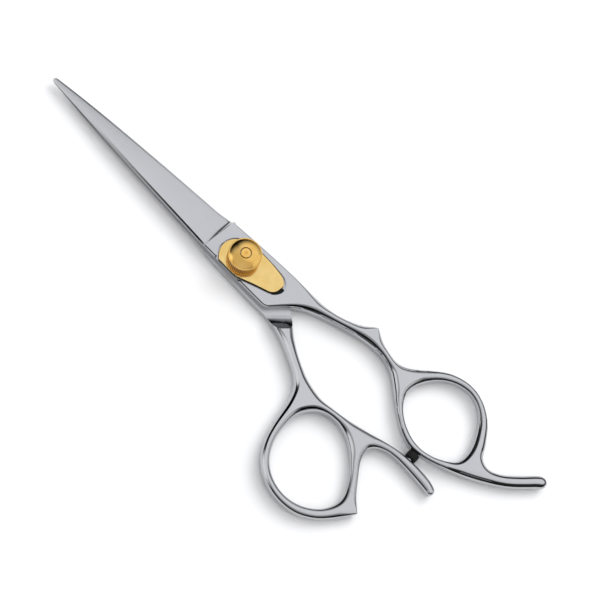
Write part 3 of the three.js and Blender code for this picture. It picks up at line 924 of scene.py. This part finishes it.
def satin_steel():
    """Fine satin with lengthways brushing on the level faces, and mirror polish on the rounded edges, whose
    base colour is painted darker as shade.
    """
    n = Nodes("satin_steel", Metallic=1.0)
    brushed = n.noise((60, 9000, 9000), detail=4)
    fine = n.noise((14000, 14000, 14000), detail=2)
    cloud = n.noise((45, 45, 45), detail=3)
    level = n.flatness()
    grain = n.maths("ADD", n.maths("MULTIPLY", brushed, 0.65), n.maths("MULTIPLY", fine, 0.35))
    satin = n.maths("ADD", n.spread(grain, 0.27, 0.36), n.spread(cloud, -0.03, 0.03))
    polished = n.spread(cloud, 0.07, 0.12)
    roughness = n.add("Mix", data_type="FLOAT")
    n.link(level, roughness.inputs["Factor"])
    n.link(polished, roughness.inputs["A"])
    n.link(satin, roughness.inputs["B"])
    n.bump(n.maths("MULTIPLY", grain, level), 0.12, 0.00002)
    tone = n.maths("ADD", n.maths("MULTIPLY", grain, 0.5), n.maths("MULTIPLY", cloud, 0.5))
    bright = n.colours(tone, (0.35, (0.57, 0.575, 0.59)), (0.65, (0.64, 0.645, 0.66)))
    # Painted shade: walls and rounded edges take a darker base colour than the level faces, to darken what
    # they reflect
    deep = n.colours(tone, (0.35, (0.44, 0.445, 0.46)), (0.65, (0.5, 0.505, 0.52)))
    shade = n.add("Mix", data_type="RGBA")
    n.link(level, shade.inputs["Factor"])
    n.link(deep, shade.inputs["A"])
    n.link(bright, shade.inputs["B"])
    return n.set(Base_Color=shade.outputs["Result"], Roughness=roughness.outputs["Result"])


def polished_steel():
    """Mirror polish with faint hazes and buffing lines, on a base colour painted darker as shade, like the
    satin steel's walls.
    """
    n = Nodes("polished_steel", Metallic=1.0)
    cloud = n.noise((120, 120, 120), detail=3)
    fine = n.noise((300, 9000, 9000), detail=3)
    n.bump(fine, 0.04, 0.00001)
    # Painted shade: a darker base colour than the satin's level faces, so that the hollow step reads dark
    colour = n.colours(cloud, (0.35, (0.4, 0.405, 0.415)), (0.65, (0.5, 0.505, 0.52)))
    return n.set(Base_Color=colour, Roughness=n.spread(fine, 0.06, 0.12))


def painted_shade_black():
    """Near-black steel with a faint grain: painted shade on the pocket's wall and relief and on the plate's
    edge.
    """
    n = Nodes("painted_shade_black", Metallic=0.5)
    grain = n.noise((1800, 1800, 1800), detail=4)
    n.bump(grain, 0.3, 0.00003)
    colour = n.colours(grain, (0.3, (0.006, 0.006, 0.007)), (0.7, (0.02, 0.02, 0.022)))
    return n.set(Base_Color=colour, Roughness=n.spread(grain, 0.5, 0.7))


def turned_steel(name, dark, light, roughness):
    """Bright steel with concentric tool marks."""
    n = Nodes(name, Metallic=1.0)
    split = n.add("SeparateXYZ")
    n.link(n.position((1, 1, 1)), split.inputs["Vector"])
    squares = [n.maths("POWER", n.maths("ABSOLUTE", split.outputs[axis]), 2.0) for axis in ("X", "Y")]
    radius = n.maths("SQRT", n.maths("ADD", *squares))
    phase = n.maths("MULTIPLY", radius, 2 * math.pi / TOOL_MARK_SPACING)
    marks = n.maths("MULTIPLY_ADD", n.maths("SINE", phase), 0.5, 0.5)
    cloud = n.noise((900, 900, 900), detail=4)
    mixed = n.maths("ADD", n.maths("MULTIPLY", marks, 0.35), n.maths("MULTIPLY", cloud, 0.65))
    n.bump(mixed, 0.15, 0.00001)
    colour = n.colours(mixed, (0.3, dark), (0.7, light))
    return n.set(Base_Color=colour, Roughness=n.spread(mixed, roughness - 0.05, roughness + 0.07))


def polished_gilt(name, deep, pale, roughness):
    """Polished gold plating: a deeper tone in patches and faint polishing hazes."""
    n = Nodes(name, Metallic=1.0)
    cloud = n.noise((260, 260, 260), detail=3)
    fine = n.noise((5000, 5000, 5000), detail=3)
    n.bump(fine, 0.05, 0.00001)
    colour = n.colours(cloud, (0.35, deep), (0.65, pale))
    return n.set(Base_Color=colour, Roughness=n.spread(fine, roughness, roughness + 0.09))


def black_rubber():
    """Matte moulded rubber."""
    n = Nodes("black_rubber", Specular_IOR_Level=0.25)
    grain = n.noise((2600, 2600, 2600), detail=4)
    n.bump(grain, 0.35, 0.00004)
    colour = n.colours(grain, (0.3, (0.004, 0.004, 0.004)), (0.7, (0.011, 0.011, 0.012)))
    return n.set(Base_Color=colour, Roughness=n.spread(grain, 0.55, 0.75))


def natural_nylon():
    """Matte, slightly translucent nylon."""
    n = Nodes("natural_nylon", Subsurface_Weight=0.1)
    grain = n.noise((1500, 1500, 1500), detail=4)
    n.bump(grain, 0.2, 0.00003)
    colour = n.colours(grain, (0.3, (0.74, 0.72, 0.66)), (0.7, (0.84, 0.82, 0.77)))
    return n.set(Base_Color=colour, Roughness=n.spread(grain, 0.42, 0.58))


# The pieces on their bodies

steel = satin_steel()
mirror_steel = polished_steel()
# Painted shade: a near-black material that stands in for the shadow in the pocket and along the plate's edge
shade_painted_steel = painted_shade_black()
gilt = polished_gilt("polished_gilt", (0.86, 0.59, 0.2), (0.92, 0.68, 0.28), 0.1)
knob_gilt = polished_gilt("knob_gilt", (0.88, 0.52, 0.13), (0.94, 0.62, 0.21), 0.09)
# Painted shade: dark brown gilt that stands in for the shadow deep in the knurl's grooves
knurl_shade_gilt = polished_gilt("painted_knurl_shade", (0.26, 0.11, 0.03), (0.4, 0.19, 0.06), 0.3)
screw_steel = turned_steel("screw_steel", (0.58, 0.59, 0.61), (0.72, 0.73, 0.75), 0.2)
spring_steel = turned_steel("spring_steel", (0.36, 0.37, 0.39), (0.52, 0.53, 0.55), 0.3)
rubber = black_rubber()
nylon = natural_nylon()

# Maker, CAD node, body, slot, material, and what wears another material
PIECES = [
    (finger_half, "finger_half", "finger_side", "polished_steel", steel, [(shade_painted_steel, in_painted_shade_bed())]),
    (thumb_half, "thumb_half", "thumb_side", "polished_steel", steel, [(mirror_steel, in_cove)]),
    (base_plate, "base_plate", "finger_side", "gilt", gilt, [(shade_painted_steel, on_shaded_plate_edge())]),
    (pivot_screw, "pivot_screw", "finger_side", "screw_steel", screw_steel, []),
    (tension_knob, "tension_knob", "knob", "gilt", knob_gilt, [(knurl_shade_gilt, in_knurl())]),
    (lock_screw, "lock_screw", "finger_side", "gilt", knob_gilt, []),
    (bumper, "bumper", "thumb_side", "rubber", rubber, []),
]
for make, node, body, slot, material, marks in PIECES:
    piece = finish_surface(make(), material)
    for other_material, chosen in marks:
        mark(piece, other_material, chosen)
    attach(piece, body)
    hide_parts(node)

# The nodes that stay as the frame made them
CARRIED = {
    "pivot_bushing": nylon,
    "bearing_washer": nylon,
    "spring_washer": spring_steel,
    "detent_spring": spring_steel,
    "detent_ball": screw_steel,
    "bumper_stud": screw_steel,
}
for node, material in CARRIED.items():
    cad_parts[node].data.materials.clear()
    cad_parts[node].data.materials.append(material)


# Floor, light and camera

# Soft lights in the surroundings: azimuth and elevation, the cosine where each starts and is full, and colour
WORLD_LOBES = [
    ((268, 60), 0.5, 0.85, (0.93, 0.94, 0.97)),
    ((215, 28), 0.75, 0.95, (0.9, 0.9, 0.9)),
    ((45, 22), 0.88, 0.97, (1.3, 1.3, 1.3)),
    ((0, 90), 0.4, 0.75, (0.66, 0.66, 0.67)),
]
CAMERA = {
    "aim": (-17.75, -4.4, 0),
    "azimuth": 103.6,
    "elevation": 70.83,
    "roll": 31.29,
    "distance": 449.9,
    "lens": 102,
}


def direction(azimuth, elevation):
    """A unit vector from compass-like angles in degrees: azimuth 0 is +X and 90 is +Y."""
    a, e = math.radians(azimuth), math.radians(elevation)
    return Vector((math.cos(e) * math.cos(a), math.cos(e) * math.sin(a), math.sin(e)))


def floor():
    """A wide pale floor, a hair under the shears."""
    n = Nodes("pale_floor", Roughness=0.75)
    colour = n.colours(n.noise((30, 30, 30)), (0.3, (0.93, 0.93, 0.93)), (0.7, (0.95, 0.95, 0.95)))
    corners = [(x * FLOOR_HALF, y * FLOOR_HALF, FLOOR_LEVEL) for x, y in ((-1, -1), (1, -1), (1, 1), (-1, 1))]
    plane = new_piece("floor", corners, [(0, 1, 2, 3)])
    plane.data.materials.append(n.set(Base_Color=colour))


def studio_world():
    """Soft surroundings: the brightest of a few lobes in each direction, and dark low down between them."""
    world = bpy.data.worlds.new("studio")
    bpy.context.scene.world = world
    world.use_nodes = True
    tree = world.node_tree
    coordinates = tree.nodes.new("ShaderNodeTexCoord")
    total = None
    for aim, start, end, colour in WORLD_LOBES:
        towards = tree.nodes.new("ShaderNodeVectorMath")
        towards.operation = "DOT_PRODUCT"
        towards.inputs[1].default_value = direction(*aim)
        tree.links.new(coordinates.outputs["Generated"], towards.inputs[0])
        lobe = tree.nodes.new("ShaderNodeMapRange")
        lobe.interpolation_type = "SMOOTHSTEP"
        lobe.inputs["From Min"].default_value = start
        lobe.inputs["From Max"].default_value = end
        tree.links.new(towards.outputs["Value"], lobe.inputs["Value"])
        tinted = tree.nodes.new("ShaderNodeVectorMath")
        tinted.operation = "SCALE"
        tinted.inputs[0].default_value = colour
        tree.links.new(lobe.outputs["Result"], tinted.inputs["Scale"])
        if total is None:
            total = tinted.outputs["Vector"]
            continue
        brightest = tree.nodes.new("ShaderNodeVectorMath")
        brightest.operation = "MAXIMUM"
        tree.links.new(total, brightest.inputs[0])
        tree.links.new(tinted.outputs["Vector"], brightest.inputs[1])
        total = brightest.outputs["Vector"]
    tree.links.new(total, tree.nodes["Background"].inputs["Color"])


def area_light(name, azimuth, elevation, distance, size, power):
    """A square light aimed at the pivot, with its distance and size in metres and its power in watts."""
    data = bpy.data.lights.new(name, "AREA")
    data.shape = "RECTANGLE"
    data.size = data.size_y = size
    data.energy = power
    light = bpy.data.objects.new(name, data)
    bpy.context.scene.collection.objects.link(light)
    light.location = direction(azimuth, elevation) * distance
    light.rotation_euler = light.location.to_track_quat("Z", "Y").to_euler()
    light.visible_glossy = False


def camera():
    """The picture's viewpoint: above the thumb side, turned so that the blades run to the upper left."""
    aim = Vector(CAMERA["aim"]) * MM
    back = direction(CAMERA["azimuth"], CAMERA["elevation"])
    right = Vector((0, 0, 1)).cross(back).normalized()
    up = back.cross(right)
    roll = math.radians(CAMERA["roll"])
    axes = [right * math.cos(roll) + up * math.sin(roll), up * math.cos(roll) - right * math.sin(roll), back]
    data = bpy.data.cameras.new("camera")
    data.sensor_width = 36
    data.lens = CAMERA["lens"]
    data.clip_start = 0.01
    eye = bpy.data.objects.new("camera", data)
    bpy.context.scene.collection.objects.link(eye)
    place = aim + back * CAMERA["distance"] * MM
    eye.matrix_world = Matrix.Translation(place) @ Matrix(axes).transposed().to_4x4()
    bpy.context.scene.camera = eye


floor()
studio_world()
area_light("key", azimuth=262, elevation=50, distance=0.9, size=0.5, power=2.2)
area_light("fill", azimuth=262, elevation=75, distance=1.1, size=1.6, power=6.0)
camera()
bpy.context.scene.view_settings.view_transform = "Standard"
